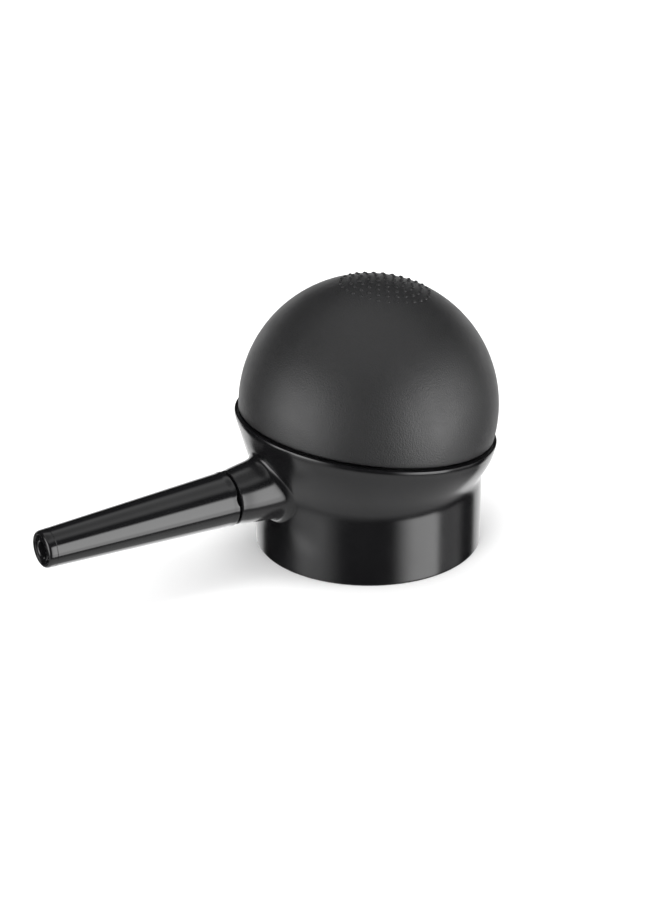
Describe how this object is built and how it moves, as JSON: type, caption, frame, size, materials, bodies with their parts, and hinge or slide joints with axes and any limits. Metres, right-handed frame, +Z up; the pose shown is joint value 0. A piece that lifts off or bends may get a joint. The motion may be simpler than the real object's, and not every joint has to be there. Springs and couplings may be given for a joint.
{
  "type": "squeeze-bulb dust blower",
  "caption": "Squeeze-bulb air blower: matte rubber dome on a gloss plastic body with a threaded skirt, a side stub with a pull-off tapered nozzle, and a one-way intake valve inside.",
  "frame": {"origin": "middle of the overall box, on the plane of the skirt's bottom rim", "axes": "+Z up along the skirt's axis, -X out along the nozzle, +Y to the side"},
  "size_m": [0.0962, 0.0508, 0.0531],
  "materials": {
    "bulb_rubber": "matte, fine grain",
    "gloss_body": "gloss",
    "gloss_nozzle": "gloss",
    "ring_plastic": "satin",
    "plate_plastic": "satin",
    "valve_rubber": "satin silicone",
    "cage_plastic": "satin",
    "filter_felt": "felt",
    "gasket_rubber": "matte"
  },
  "bodies": {
    "pump": {"pump_body": "gloss_body", "valve_plate": "plate_plastic", "bulb_retaining_ring": "ring_plastic", "valve_cage": "cage_plastic", "intake_filter": "filter_felt", "neck_gasket": "gasket_rubber"},
    "bulb": {"bulb": "bulb_rubber"},
    "nozzle": {"nozzle": "gloss_nozzle"},
    "valve": {"intake_valve_disc": "valve_rubber"}
  },
  "joints": [
    {"name": "bulb_squeeze", "type": "slide", "parent": "pump", "child": "bulb", "axis": [-0.153, 0, -0.9882], "range_m": [0, 0.012], "stiffness_N_per_m": 900, "deforming": ["bulb"]},
    {"name": "nozzle_pull_off", "type": "slide", "parent": "pump", "child": "nozzle", "axis": [-1, 0, 0], "range_m": [0, 0.012]},
    {"name": "intake_valve_lift", "type": "slide", "parent": "pump", "child": "valve", "axis": [0, 0, 1], "range_m": [0, 0.001]}
  ]
}
